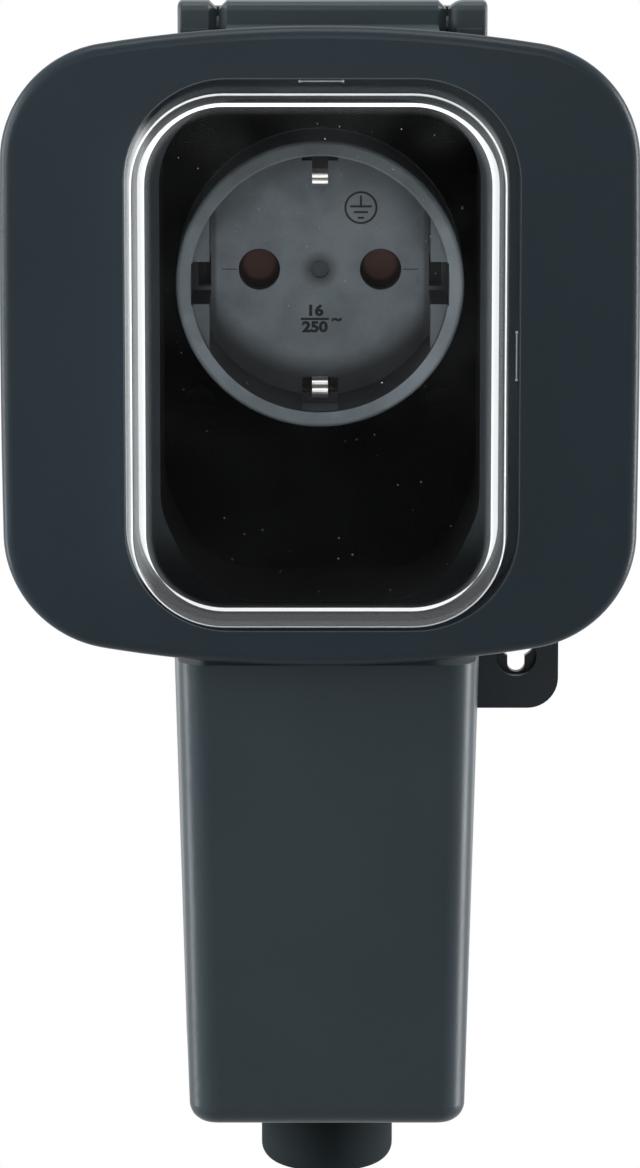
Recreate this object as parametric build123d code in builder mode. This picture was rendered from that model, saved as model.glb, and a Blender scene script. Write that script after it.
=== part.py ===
import os
from math import cos, radians, tan

from build123d import *

os.makedirs("parts", exist_ok=True)

# Frame: X to the right, Y into the wall, Z up. The wall is the plane Y = 0 and the socket's axis is X = Z = 0.
# A depth is a distance in front of the wall, and a drawing at that depth faces the viewer.

# Mouldings in general
wall = 2.4
fit_gap = 0.3
snug = 0.05
ring_gap = 0.2

# Wall plate and its ears
plate_thick = 3.5
back_seal_width = 1.1
back_seal_thick = 1.2
ear_right_x = 38.7
ear_inner_x = 12.0
ear_bottom_z = -75.1
ear_reach = 28.0
ear_corner = 5.0
side_ear_outer_x = -43.5
side_ear_inner_x = -15.0
side_ear_top_z = 26.0
side_ear_height = 22.0
keyhole_x = 31.9
keyhole_z = -66.5
side_keyhole_x = -36.5
side_keyhole_z = 14.0
keyhole_head_radius = 3.1
keyhole_rim_radius = 3.3
keyhole_slot = 2.8
keyhole_rise = 2.4
keyhole_lip = 0.3
keyhole_ledge = 1.5

# Tray behind the lid
tray_width = 49.0
tray_top = 29.5
tray_bottom = -48.0
tray_round = 13.0
tray_waist_z = -34.0
tray_foot_width = 36.0
tray_foot_round = 3.0
tray_floor = 24.0
tray_rim = 51.5
rim_thick = 3.0
rim_cover = 3.8

# Lower body, the wiring chamber
body_x = 1.1
body_top = -56.5
body_height = 73.2
body_front = 59.5
body_back_top_width = 50.0
body_back_bottom_width = 46.0
body_front_top_width = 45.4
body_front_bottom_width = 42.4
body_edge = 4.5
body_shoulder = 3.0
body_corner = 3.0
neck_width = 32.0

# Hinge
hinge_x = 1.9
hinge_depth = 44.0
hinge_z = 39.9
hinge_radius = 4.0
hinge_width = 47.1
knuckle_width = 5.9
hinge_gap = 0.4
hinge_chamfer = 1.2
hinge_end_round = 0.8
hinge_edge = 1.3
hinge_wall_thick = 2.2
hinge_wall_gap = 1.6
hinge_wall_rise = 2.4
knuckle_lap = 0.5
pin_radius = 1.5
pin_running = 0.06
pin_sink = 0.6

# Lid
lid_width = 96.1
lid_top = 42.7
lid_bottom = -54.4
lid_bow = 5.5
lid_side_bow = 0.3
lid_corner = 18.0
lid_front = 73.5
lid_back = 60.0
lid_draft = 7.0
lid_crown_radius = 900.0
lid_edge = 1.8
lid_face_thick = 2.6
lid_crown_allowance = 1.3
collar_thick = 1.2
collar_offset = 2.1
hook_length = 9.0
hook_reach = 1.2
hook_thick = 1.8
web_rise = 0.6
web_thick = 1.6
web_lap = 4.0

# Window opening and cap
opening_x = 0.3
opening_width = 59.0
opening_top = 34.8
opening_bottom = -48.5
opening_round = 15.5
cap_x = -0.25
cap_gap = 0.75
cap_front = 78.1
cap_wall = 2.1
cap_foot_wall = 1.65
cap_taper = 5.0
cap_inner_taper = 8.0
cap_edge = 0.5
flange_reach = 1.8
flange_thick = 1.8
window_seal_thick = 1.2
window_seal_width = 0.9
tab_width = 7.2
tab_thick = 0.8
tab_margin = 0.3
tab_sink = 1.6

# Lid seal on the tray's rim
lid_seal_thick = 2.0
lid_seal_width = 2.0

# Socket well
well_rim = 43.5
well_depth = 17.5
well_outer_radius = 22.2
well_inner_radius = 19.9
well_floor_thick = 2.5
well_flat = 17.05
well_guide_drop = 1.8
well_notch_height = 6.6
well_slot_height = 5.2
well_slot_width = 2.0
well_rim_round = 0.7
well_flange_width = 46.0
well_flange_height = 50.0
well_flange_round = 6.0
well_flange_thick = 2.5
can_outer_radius = 21.4
can_wall = 1.9
can_back = 8.0
pin_spacing = 19.0
pin_hole_radius = 3.25
dimple_radius = 1.4
dimple_depth = 1.0
clip_recess_width = 5.6
clip_recess_depth = 1.2
clip_recess_drop = 1.6
clip_slot_gap = 0.8

# Contacts and their carrier
carrier_back = 6.4
carrier_front = 20.1
sleeve_inner_radius = 2.45
sleeve_wall = 1.0
sleeve_floor = 0.6
sleeve_slit = 1.0
contact_tab_width = 4.4
contact_tab_margin = 2.5
contact_strip_depth = 8.0
terminal_z = -13.0
earth_terminal_z = 8.0
strap_width = 5.0
clip_width = 2.5
strap_thick = 0.8
clip_leg_z = 18.3
clip_inner_z = 14.7
clip_knee_depth = 39.6
clip_tip_depth = 42.4
clip_leg_end_depth = 33.0
strap_bend = 1.2
strap_slot_gap = 0.35

# Shutter and its spring
shutter_width = 27.0
shutter_bottom = -4.2
shutter_top = 4.4
shutter_thick = 2.8
shutter_ramp = 1.9
shutter_travel = 7.5
shutter_peg_radius = 0.9
shutter_peg_length = 2.0
rail_thick = 1.5
spring_radius = 1.3
spring_wire = 0.5
spring_turns = 5
spring_end_gap = 0.05
spring_seat_z = 16.0
spring_seat_width = 6.0
spring_seat_thick = 1.2

# Screws
screw_radius = 1.25
screw_head_radius = 2.4
screw_head_height = 1.7
screw_drive_width = 0.8
screw_drive_depth = 0.8
screw_clearance = 0.2
plate_head_sink = 0.1
boss_wall = 1.7
plate_screw_length = 10.0
body_boss_depth = 13.0
tray_screw_inset = 3.9
tray_screw_drop = 5.0
tray_screw_rise = 1.0
body_screw_inset = 4.6
body_screw_rise = 7.9
socket_screw_x = 18.8
socket_screw_z = 20.6
socket_screw_length = 10.0
socket_boss_length = 7.0
carrier_screw_x = 14.6
carrier_screw_z = -8.0
carrier_screw_length = 16.0
terminal_screw_length = 6.0

# Cable entry and strain relief
grommet_depth = 32.0
grommet_radius = 10.4
grommet_length = 12.9
grommet_round = 2.8
grommet_neck_radius = 7.6
grommet_flange_radius = 9.6
grommet_flange_thick = 2.0
cable_radius = 5.0
clamp_rise = 21.0
clamp_spacing = 22.0
clamp_height = 7.0
clamp_thick = 3.2
clamp_squeeze = 1.5
clamp_end_margin = 3.6
clamp_screw_length = 8.0

# Sizes worked out from the ones above
body_bottom = body_top - body_height
grommet_bottom = body_bottom - grommet_length
clamp_z = body_bottom + clamp_rise
well_floor = well_rim - well_depth
well_floor_back = well_floor - well_floor_thick
lid_middle_z = (lid_top + lid_bottom) / 2
lid_rim_depth = lid_front - lid_crown_allowance
lid_inside = lid_rim_depth - lid_face_thick
lid_slope = tan(radians(lid_draft))
opening_height = opening_top - opening_bottom
opening_z = (opening_top + opening_bottom) / 2
opening_left = opening_x - opening_width / 2
opening_right = opening_x + opening_width / 2
flange_front = lid_inside - window_seal_thick
flange_back = flange_front - flange_thick
lid_seal_front = tray_rim + lid_seal_thick
collar_back = lid_seal_front + fit_gap
seal_offset = collar_offset + collar_thick / 2
tray_floor_back = tray_floor - wall
can_inner_radius = can_outer_radius - can_wall
carrier_radius = can_inner_radius - ring_gap
sleeve_radius = sleeve_inner_radius + sleeve_wall
pocket_radius = sleeve_radius + ring_gap
boss_radius = screw_radius + boss_wall
pin_holes = [(-pin_spacing / 2, 0), (pin_spacing / 2, 0)]
body_screw_x = body_back_bottom_width / 2 - body_screw_inset
body_screw_z = body_bottom + body_screw_rise
body_screws = [(body_x - body_screw_x, body_screw_z), (body_x + body_screw_x, body_screw_z)]
tray_screw_x = tray_width / 2 - tray_screw_inset
tray_screw_zs = (tray_top - tray_screw_drop, tray_waist_z + tray_screw_rise)
tray_screws = [(x, z) for x in (-tray_screw_x, tray_screw_x) for z in tray_screw_zs]
plate_screws = tray_screws + body_screws
socket_screws_at = [(x, z) for x in (-socket_screw_x, socket_screw_x) for z in (-socket_screw_z, socket_screw_z)]
carrier_screws_at = [(-carrier_screw_x, carrier_screw_z), (carrier_screw_x, carrier_screw_z)]
pole_terminals = [(-pin_spacing / 2, terminal_z), (pin_spacing / 2, terminal_z)]
terminals = pole_terminals + [(0, earth_terminal_z)]
clamp_screws_at = [(body_x - clamp_spacing / 2, clamp_z), (body_x + clamp_spacing / 2, clamp_z)]
knuckle_left = hinge_x - hinge_width / 2
knuckle_right = hinge_x + hinge_width / 2
barrel_width = hinge_width - 2 * knuckle_width - 2 * hinge_gap
barrel_left = knuckle_left + knuckle_width + hinge_gap
shutter_front = well_floor_back - fit_gap
shutter_back = shutter_front - shutter_thick
shutter_middle = (shutter_front + shutter_back) / 2
web_top = hinge_z + web_rise
hinge_wall_front = hinge_depth - hinge_radius - hinge_wall_gap
plate_screw_seat = plate_head_sink + screw_head_height
clamp_seat = plate_thick + 2 * cable_radius - clamp_squeeze
tab_seat = carrier_back - strap_thick
rail_x = shutter_width / 2 + fit_gap


def face_at(depth):
    """The drawing plane that faces the viewer at this distance from the wall."""
    return Plane.XZ.offset(depth)


def opening_outline(outset):
    """The window opening's rounded outline, moved outwards by outset."""
    with Locations((opening_x, opening_z)):
        RectangleRounded(opening_width + 2 * outset, opening_height + 2 * outset, opening_round + outset)


def cap_outline(inset):
    """The window cap's outline at its foot, moved inwards by inset; the cap sits a little to the left."""
    with Locations((cap_x, opening_z)):
        RectangleRounded(
            opening_width - 2 * (cap_gap + inset),
            opening_height - 2 * (cap_gap + inset),
            opening_round - cap_gap - inset,
        )


def tray_outline(outset):
    """The tray's outline: round at the top, narrowing to a foot at the bottom."""
    half = tray_width / 2
    foot = tray_foot_width / 2
    with BuildLine() as edge:
        Polyline(
            (-half, tray_top),
            (half, tray_top),
            (half, tray_waist_z),
            (foot, tray_bottom),
            (-foot, tray_bottom),
            (-half, tray_waist_z),
            close=True,
        )
    made = make_face(edge.edges())
    fillet(made.vertices().group_by(Axis.Z)[-1], radius=tray_round)
    fillet(made.vertices().group_by(Axis.Z)[0], radius=tray_foot_round)
    if outset:
        offset(amount=outset)


def body_outline(top, bottom, top_width, bottom_width, inset):
    """The lower body's tapered outline at one depth, moved inwards by inset at the sides."""
    half_top = top_width / 2 - inset
    half_bottom = bottom_width / 2 - inset
    with BuildLine() as edge:
        Polyline(
            (body_x - half_top, top),
            (body_x + half_top, top),
            (body_x + half_bottom, bottom),
            (body_x - half_bottom, bottom),
            close=True,
        )
    make_face(edge.edges())


def lid_outline(inset):
    """The lid's outline, moved inwards by inset: four bowed sides and four round corners."""
    half_width = lid_width / 2 - inset
    top = lid_top - inset
    bottom = lid_bottom + inset
    corner_x = half_width - lid_side_bow
    corner_top = top - lid_bow
    corner_bottom = bottom + lid_bow
    with BuildLine() as edge:
        ThreePointArc((-corner_x, corner_top), (0, top), (corner_x, corner_top))
        ThreePointArc((corner_x, corner_top), (half_width, lid_middle_z), (corner_x, corner_bottom))
        ThreePointArc((corner_x, corner_bottom), (0, bottom), (-corner_x, corner_bottom))
        ThreePointArc((-corner_x, corner_bottom), (-half_width, lid_middle_z), (-corner_x, corner_top))
    made = make_face(edge.edges())
    fillet(made.vertices(), radius=lid_corner - inset)


def keyhole_cut(x, z):
    """A stepped keyhole: a round rim sunk in the front, a head hole and a slot below it."""
    with BuildSketch(face_at(0)) as hole:
        with Locations((x, z + keyhole_rise)):
            Circle(keyhole_head_radius)
        with Locations((x, z - keyhole_rim_radius + keyhole_lip + keyhole_slot / 2)):
            Rectangle(keyhole_slot, keyhole_rise + keyhole_rim_radius, align=(Align.CENTER, Align.MIN))
            Circle(keyhole_slot / 2)
    extrude(hole.sketch, amount=plate_thick, mode=Mode.SUBTRACT)
    with BuildSketch(face_at(keyhole_ledge)) as rim:
        with Locations((x, z)):
            Circle(keyhole_rim_radius)
        with Locations((x, z + keyhole_rise)):
            Circle(keyhole_rim_radius)
    extrude(rim.sketch, amount=plate_thick - keyhole_ledge, mode=Mode.SUBTRACT)


def screw_set(places, seat, length, towards):
    """Slotted pan-head screws whose heads rest at depth seat; towards is 1 if they point at the viewer."""
    tip = seat + towards * length
    head = seat - towards * screw_head_height
    with BuildSketch(face_at(seat)) as shank:
        with Locations(*places):
            Circle(screw_radius)
    extrude(shank.sketch, amount=tip - seat)
    with BuildSketch(face_at(seat)) as cap:
        with Locations(*places):
            Circle(screw_head_radius)
    extrude(cap.sketch, amount=head - seat)
    with BuildSketch(face_at(head)) as drive:
        with Locations(*places):
            Rectangle(2 * screw_head_radius, screw_drive_width)
    extrude(drive.sketch, amount=towards * screw_drive_depth, mode=Mode.SUBTRACT)


def screw_bores(places, start, depth):
    """Round holes for the screws' threads, a snug clearance wider than the screws."""
    with BuildSketch(face_at(start)) as bores:
        with Locations(*places):
            Circle(screw_radius + snug)
    extrude(bores.sketch, amount=depth, mode=Mode.SUBTRACT)


def hinge_axis_at(x):
    """The drawing plane across the hinge at this X, with its origin on the hinge's axis."""
    return Plane(origin=(x, -hinge_depth, hinge_z), x_dir=(0, 1, 0), z_dir=(1, 0, 0))


def hinge_section():
    """The hinge's outline from the side: round, but square to the front and top with one rounded edge."""
    turned = hinge_radius * cos(radians(45))
    with BuildLine() as edge:
        Line((-hinge_radius, 0), (-hinge_radius, hinge_radius - hinge_edge))
        RadiusArc((-hinge_radius, hinge_radius - hinge_edge), (hinge_edge - hinge_radius, hinge_radius), hinge_edge)
        Line((hinge_edge - hinge_radius, hinge_radius), (0, hinge_radius))
        ThreePointArc((0, hinge_radius), (turned, -turned), (-hinge_radius, 0))
    make_face(edge.edges())


# Housing: the tray, the lower body and the two outer hinge knuckles in one moulding, open at the back
with BuildPart() as housing:
    with BuildSketch(hinge_axis_at(knuckle_left), hinge_axis_at(knuckle_right - knuckle_width)):
        hinge_section()
    extrude(amount=knuckle_width)
    knuckle_ends = housing.faces().filter_by(Axis.X).sort_by(Axis.X)
    chamfer(knuckle_ends[1:3].edges(), length=hinge_chamfer)
    knuckle_ends = housing.faces().filter_by(Axis.X).sort_by(Axis.X)
    fillet(knuckle_ends[0].edges() + knuckle_ends[-1].edges(), radius=hinge_end_round)

    with BuildSketch(face_at(plate_thick)):
        body_outline(body_top, body_bottom, body_back_top_width, body_back_bottom_width, 0)
    with BuildSketch(face_at(body_front)):
        body_outline(body_top, body_bottom, body_front_top_width, body_front_bottom_width, 0)
    loft()
    front_edges = housing.faces().sort_by(Axis.Y)[0].edges()
    fillet(front_edges.filter_by(Axis.X, reverse=True), radius=body_edge)
    foot_edges = housing.faces().sort_by(Axis.Z)[0].edges()
    fillet(foot_edges.sort_by(Axis.Y)[:-1], radius=body_corner)
    shoulder_edges = housing.faces().filter_by(Axis.Z).sort_by(Axis.Z)[-1].edges()
    fillet(shoulder_edges.sort_by(Axis.Y)[:-1], radius=body_shoulder)

    # The tray's block, its neck down to the lower body, and the rim that carries the lid's seal
    with BuildSketch(face_at(plate_thick)):
        tray_outline(wall)
        with Locations((0, tray_bottom)):
            Rectangle(neck_width + 2 * wall, tray_bottom - body_top + wall, align=(Align.CENTER, Align.MAX))
    extrude(amount=tray_rim - rim_thick - plate_thick)
    with BuildSketch(face_at(tray_rim - rim_thick)):
        opening_outline(rim_cover)
    extrude(amount=rim_thick)
    with BuildSketch(face_at(hinge_depth - hinge_radius)):
        with Locations((knuckle_left + hinge_end_round, hinge_z)):
            Rectangle(
                knuckle_width - hinge_end_round - hinge_chamfer,
                hinge_z - tray_top + tray_round / 2,
                align=(Align.MIN, Align.MAX),
            )
        with Locations((knuckle_right - hinge_end_round, hinge_z)):
            Rectangle(
                knuckle_width - hinge_end_round - hinge_chamfer,
                hinge_z - tray_top + tray_round / 2,
                align=(Align.MAX, Align.MAX),
            )
    extrude(amount=tray_rim - rim_thick + knuckle_lap - hinge_depth + hinge_radius)
    with BuildSketch(face_at(hinge_wall_front)):
        with Locations((hinge_x, hinge_z + hinge_wall_rise)):
            Rectangle(
                hinge_width - 2 * hinge_end_round,
                hinge_z + hinge_wall_rise - tray_top + tray_round / 2,
                align=(Align.CENTER, Align.MAX),
            )
    extrude(amount=-hinge_wall_thick)

    # Hollows: the lower body, the wiring space behind the tray's floor, the neck, and the tray itself
    with BuildSketch(face_at(plate_thick)):
        body_outline(body_top - wall, body_bottom + wall, body_back_top_width, body_back_bottom_width, wall)
    with BuildSketch(face_at(body_front - wall)):
        body_outline(body_top - wall, body_bottom + wall, body_front_top_width, body_front_bottom_width, wall)
    loft(mode=Mode.SUBTRACT)
    with BuildSketch(face_at(plate_thick)):
        tray_outline(0)
        with Locations((0, tray_bottom + tray_foot_round)):
            Rectangle(
                neck_width, tray_bottom + tray_foot_round - body_top + 2 * wall, align=(Align.CENTER, Align.MAX)
            )
    extrude(amount=tray_floor_back - plate_thick, mode=Mode.SUBTRACT)
    with BuildSketch(face_at(tray_floor_back)):
        with Locations((0, tray_bottom - wall)):
            Rectangle(neck_width, tray_bottom - body_top + wall, align=(Align.CENTER, Align.MAX))
    extrude(amount=tray_rim - rim_thick - wall - tray_floor_back, mode=Mode.SUBTRACT)
    with BuildSketch(face_at(tray_floor)):
        tray_outline(0)
    extrude(amount=tray_rim - tray_floor, mode=Mode.SUBTRACT)

    # Screw posts, and the holes in the moulding
    with BuildSketch(face_at(plate_thick)):
        with Locations(*tray_screws):
            Circle(boss_radius)
    extrude(amount=tray_floor_back - plate_thick)
    with BuildSketch(face_at(plate_thick)):
        with Locations(*body_screws):
            Circle(boss_radius)
    extrude(amount=body_boss_depth)
    with BuildSketch(face_at(tray_floor_back)):
        with Locations(*socket_screws_at):
            Circle(boss_radius)
    extrude(amount=-socket_boss_length)
    with BuildSketch(face_at(tray_floor_back)):
        Circle(can_outer_radius + ring_gap)
    extrude(amount=wall, mode=Mode.SUBTRACT)
    screw_bores(plate_screws, plate_thick, plate_screw_length)
    screw_bores(socket_screws_at, tray_floor, -socket_screw_length)
    with BuildSketch(hinge_axis_at(knuckle_left)):
        Circle(pin_radius + snug)
    extrude(amount=hinge_width, mode=Mode.SUBTRACT)
    with BuildSketch(Plane.XY.offset(body_bottom)):
        with Locations((body_x, -grommet_depth)):
            Circle(grommet_neck_radius + snug)
    extrude(amount=wall, mode=Mode.SUBTRACT)
housing.part.label = "housing"
export_step(housing.part, "parts/housing.step")

# The outline on which the housing stands, and the edges of the seal that runs under its wall
with BuildSketch() as stand_outline:
    tray_outline(wall)
    body_outline(body_top, body_bottom, body_back_top_width, body_back_bottom_width, 0)
    with Locations((0, tray_bottom)):
        Rectangle(neck_width + 2 * wall, tray_bottom - body_top + wall, align=(Align.CENTER, Align.MAX))
with BuildSketch() as seal_outer:
    add(stand_outline.sketch)
    offset(amount=-(wall - back_seal_width) / 2)
with BuildSketch() as seal_inner:
    add(stand_outline.sketch)
    offset(amount=-(wall + back_seal_width) / 2)
with BuildSketch() as groove_outer:
    add(seal_outer.sketch)
    offset(amount=snug)
with BuildSketch() as groove_inner:
    add(seal_inner.sketch)
    offset(amount=-snug)

# Wall plate with its two ears, the seal groove and the posts of the cord clamp
with BuildPart() as back_plate:
    with BuildSketch(face_at(0)):
        add(stand_outline.sketch)
        with Locations((ear_right_x, ear_bottom_z)):
            RectangleRounded(
                ear_right_x - ear_inner_x, ear_reach, ear_corner, align=(Align.MAX, Align.MIN)
            )
        with Locations((side_ear_outer_x, side_ear_top_z)):
            RectangleRounded(
                side_ear_inner_x - side_ear_outer_x, side_ear_height, ear_corner, align=(Align.MIN, Align.MAX)
            )
    extrude(amount=plate_thick)
    with BuildSketch(face_at(plate_thick)):
        add(groove_outer.sketch)
        add(groove_inner.sketch, mode=Mode.SUBTRACT)
    extrude(amount=-back_seal_thick, mode=Mode.SUBTRACT)
    keyhole_cut(keyhole_x, keyhole_z)
    keyhole_cut(side_keyhole_x, side_keyhole_z)
    with BuildSketch(face_at(0)):
        with Locations(*plate_screws):
            Circle(screw_head_radius + screw_clearance)
    extrude(amount=plate_screw_seat, mode=Mode.SUBTRACT)
    with BuildSketch(face_at(0)):
        with Locations(*plate_screws):
            Circle(screw_radius + screw_clearance)
    extrude(amount=plate_thick, mode=Mode.SUBTRACT)
    with BuildSketch(face_at(plate_thick)):
        with Locations(*clamp_screws_at):
            Circle(boss_radius)
    extrude(amount=clamp_seat - plate_thick)
    screw_bores(clamp_screws_at, clamp_seat, plate_thick - clamp_seat)
back_plate.part.label = "back_plate"
export_step(back_plate.part, "parts/back_plate.step")

with BuildPart() as back_seal:
    with BuildSketch(face_at(plate_thick)):
        add(seal_outer.sketch)
        add(seal_inner.sketch, mode=Mode.SUBTRACT)
    extrude(amount=-back_seal_thick)
back_seal.part.label = "back_seal"
export_step(back_seal.part, "parts/back_seal.step")

with BuildPart() as back_plate_screws:
    screw_set(plate_screws, plate_screw_seat, plate_screw_length, 1)
back_plate_screws.part.label = "back_plate_screws"
export_step(back_plate_screws.part, "parts/back_plate_screws.step")

# Rubber ring on the tray's rim, under the lid's collar
with BuildPart() as lid_seal:
    with BuildSketch(face_at(tray_rim)):
        opening_outline(seal_offset + lid_seal_width / 2)
        with Locations((opening_x, opening_z)):
            RectangleRounded(
                opening_width + 2 * seal_offset - lid_seal_width,
                opening_height + 2 * seal_offset - lid_seal_width,
                opening_round + seal_offset - lid_seal_width / 2,
                mode=Mode.SUBTRACT,
            )
    extrude(amount=lid_seal_thick)
lid_seal.part.label = "lid_seal"
export_step(lid_seal.part, "parts/lid_seal.step")

# Lid: crowned frame with its skirt, the collar that meets the seal, the hooks for the window and the middle barrel
with BuildPart() as lid:
    with BuildSketch(face_at(lid_front)):
        lid_outline(-lid_crown_allowance * lid_slope)
    with BuildSketch(face_at(lid_back)):
        lid_outline((lid_rim_depth - lid_back) * lid_slope)
    loft(ruled=True)
    with Locations((0, lid_crown_radius - lid_front, lid_middle_z)):
        Sphere(lid_crown_radius, mode=Mode.INTERSECT)
    fillet(lid.faces().sort_by(Axis.Y)[0].edges(), radius=lid_edge)
    with BuildSketch(face_at(lid_inside)):
        lid_outline(wall + (lid_rim_depth - lid_inside) * lid_slope)
    with BuildSketch(face_at(lid_back)):
        lid_outline(wall + (lid_rim_depth - lid_back) * lid_slope)
    loft(ruled=True, mode=Mode.SUBTRACT)
    with BuildSketch(face_at(collar_back)):
        opening_outline(collar_offset + collar_thick)
    extrude(amount=lid_inside - collar_back)
    with BuildSketch(face_at(collar_back)):
        opening_outline(collar_offset)
    extrude(amount=lid_inside - collar_back, mode=Mode.SUBTRACT)
    with BuildSketch(face_at(lid_inside)):
        opening_outline(0)
    extrude(amount=cap_front - lid_inside, mode=Mode.SUBTRACT)
    with BuildSketch(face_at(flange_back - snug)):
        with Locations((opening_x, opening_top + collar_offset), (opening_x, opening_bottom - collar_offset)):
            Rectangle(hook_length, 2 * hook_reach)
        with Locations((opening_left - collar_offset, opening_z), (opening_right + collar_offset, opening_z)):
            Rectangle(2 * hook_reach, hook_length)
    extrude(amount=-hook_thick)
    with BuildSketch(hinge_axis_at(barrel_left)):
        hinge_section()
    extrude(amount=barrel_width)
    barrel_ends = lid.faces().filter_by(Axis.X).sort_by(Axis.Y)[-2:]
    chamfer(barrel_ends.edges(), length=hinge_chamfer)
    with BuildSketch(face_at(hinge_depth)):
        with Locations((barrel_left + hinge_chamfer, web_top)):
            Rectangle(barrel_width - 2 * hinge_chamfer, web_thick, align=(Align.MIN, Align.MAX))
    extrude(amount=lid_back + web_lap - hinge_depth)
    with BuildSketch(hinge_axis_at(barrel_left)):
        Circle(pin_radius + pin_running)
    extrude(amount=barrel_width, mode=Mode.SUBTRACT)
lid.part.label = "lid"
export_step(lid.part, "parts/lid.step")

# Clear window: a raised cap with a flange behind the lid's face and two snap tabs beside it
with BuildPart() as window:
    with BuildSketch(face_at(flange_front)):
        cap_outline(0)
    extrude(amount=cap_front - flange_front, taper=cap_taper)
    fillet(window.faces().sort_by(Axis.Y)[0].edges(), radius=cap_edge)
    with BuildSketch(face_at(flange_back)):
        opening_outline(flange_reach)
    extrude(amount=flange_thick)
    with BuildSketch(face_at(flange_front)):
        with Locations((opening_x, opening_top - tab_margin)):
            Rectangle(tab_width, tab_thick, align=(Align.CENTER, Align.MAX))
        with Locations((opening_right - tab_margin, opening_z)):
            Rectangle(tab_thick, tab_width, align=(Align.MAX, Align.CENTER))
    extrude(amount=lid_rim_depth - tab_sink - flange_front)
    with BuildSketch(face_at(flange_back)):
        cap_outline(cap_foot_wall)
    extrude(amount=cap_front - cap_wall - flange_back, taper=cap_inner_taper, mode=Mode.SUBTRACT)
window.part.label = "window"
export_step(window.part, "parts/window.step")

with BuildPart() as window_seal:
    with BuildSketch(face_at(flange_front)):
        opening_outline(flange_reach)
        with Locations((opening_x, opening_z)):
            RectangleRounded(
                opening_width + 2 * (flange_reach - window_seal_width),
                opening_height + 2 * (flange_reach - window_seal_width),
                opening_round + flange_reach - window_seal_width,
                mode=Mode.SUBTRACT,
            )
    extrude(amount=window_seal_thick)
window_seal.part.label = "window_seal"
export_step(window_seal.part, "parts/window_seal.step")

with BuildPart() as hinge_pin:
    with BuildSketch(hinge_axis_at(knuckle_left + pin_sink)):
        Circle(pin_radius)
    extrude(amount=hinge_width - 2 * pin_sink)
hinge_pin.part.label = "hinge_pin"
export_step(hinge_pin.part, "parts/hinge_pin.step")

# Socket well: the flanged insert with its round well in front and a can for the contacts behind
with BuildPart() as socket_well:
    with BuildSketch(face_at(tray_floor)):
        Circle(well_outer_radius)
    extrude(amount=well_rim - tray_floor)
    fillet(socket_well.faces().sort_by(Axis.Y)[0].edges(), radius=well_rim_round)
    with BuildSketch(face_at(tray_floor)):
        RectangleRounded(well_flange_width, well_flange_height, well_flange_round)
    extrude(amount=well_flange_thick)
    with BuildSketch(face_at(can_back)):
        Circle(can_outer_radius)
    extrude(amount=tray_floor - can_back)
    with BuildSketch(face_at(well_rim)):
        Circle(well_inner_radius)
    extrude(amount=-well_guide_drop, mode=Mode.SUBTRACT)
    with BuildSketch(face_at(well_floor)):
        Circle(well_inner_radius)
        Rectangle(2 * well_flat, 2 * well_inner_radius, mode=Mode.INTERSECT)
        Rectangle(2 * well_inner_radius - 2 * snug, well_notch_height)
    extrude(amount=well_depth, mode=Mode.SUBTRACT)
    with BuildSketch(face_at(well_floor)):
        with Locations((0, well_inner_radius), (0, -well_inner_radius)):
            Rectangle(clip_recess_width, 2 * clip_recess_depth)
    extrude(amount=well_depth - clip_recess_drop, mode=Mode.SUBTRACT)
    with BuildSketch(face_at(can_back)):
        Circle(can_inner_radius)
    extrude(amount=well_floor_back - can_back, mode=Mode.SUBTRACT)

    # Through the floor: pin holes, side slots, slots for the earth strap, and a dimple in the middle
    with BuildSketch(face_at(well_floor)):
        with Locations(*pin_holes):
            Circle(pin_hole_radius)
        with Locations((-well_flat - well_slot_width / 2, 0), (well_flat + well_slot_width / 2, 0)):
            Rectangle(well_slot_width, well_slot_height)
        with Locations((0, clip_leg_z), (0, -clip_leg_z)):
            Rectangle(clip_recess_width, strap_thick + 2 * clip_slot_gap)
    extrude(amount=-well_floor_thick, mode=Mode.SUBTRACT)
    with BuildSketch(face_at(well_floor)):
        Circle(dimple_radius)
    extrude(amount=-dimple_depth, mode=Mode.SUBTRACT)

    # Behind the floor: rails for the shutter, the spring's seat and the carrier's screw posts
    with BuildSketch(face_at(well_floor_back)):
        for side in (-1, 1):
            with Locations((side * (rail_x + rail_thick / 2), shutter_bottom - rail_thick)):
                Rectangle(
                    rail_thick,
                    shutter_top - shutter_bottom + shutter_travel + rail_thick,
                    align=(Align.CENTER, Align.MIN),
                )
        with Locations((0, shutter_bottom - fit_gap)):
            Rectangle(2 * rail_x, rail_thick, align=(Align.CENTER, Align.MAX))
        with Locations((0, spring_seat_z)):
            Rectangle(spring_seat_width, spring_seat_thick, align=(Align.CENTER, Align.MIN))
        with Locations(*carrier_screws_at):
            Circle(boss_radius)
    extrude(amount=carrier_front - well_floor_back)
    screw_bores(carrier_screws_at, carrier_front, well_floor_back - carrier_front)
    with BuildSketch(face_at(tray_floor)):
        with Locations(*socket_screws_at):
            Circle(screw_radius + screw_clearance)
    extrude(amount=well_flange_thick, mode=Mode.SUBTRACT)
socket_well.part.label = "socket_well"
export_step(socket_well.part, "parts/socket_well.step")

with BuildPart() as socket_screws:
    screw_set(socket_screws_at, tray_floor + well_flange_thick, socket_screw_length, -1)
socket_screws.part.label = "socket_screws"
export_step(socket_screws.part, "parts/socket_screws.step")

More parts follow.
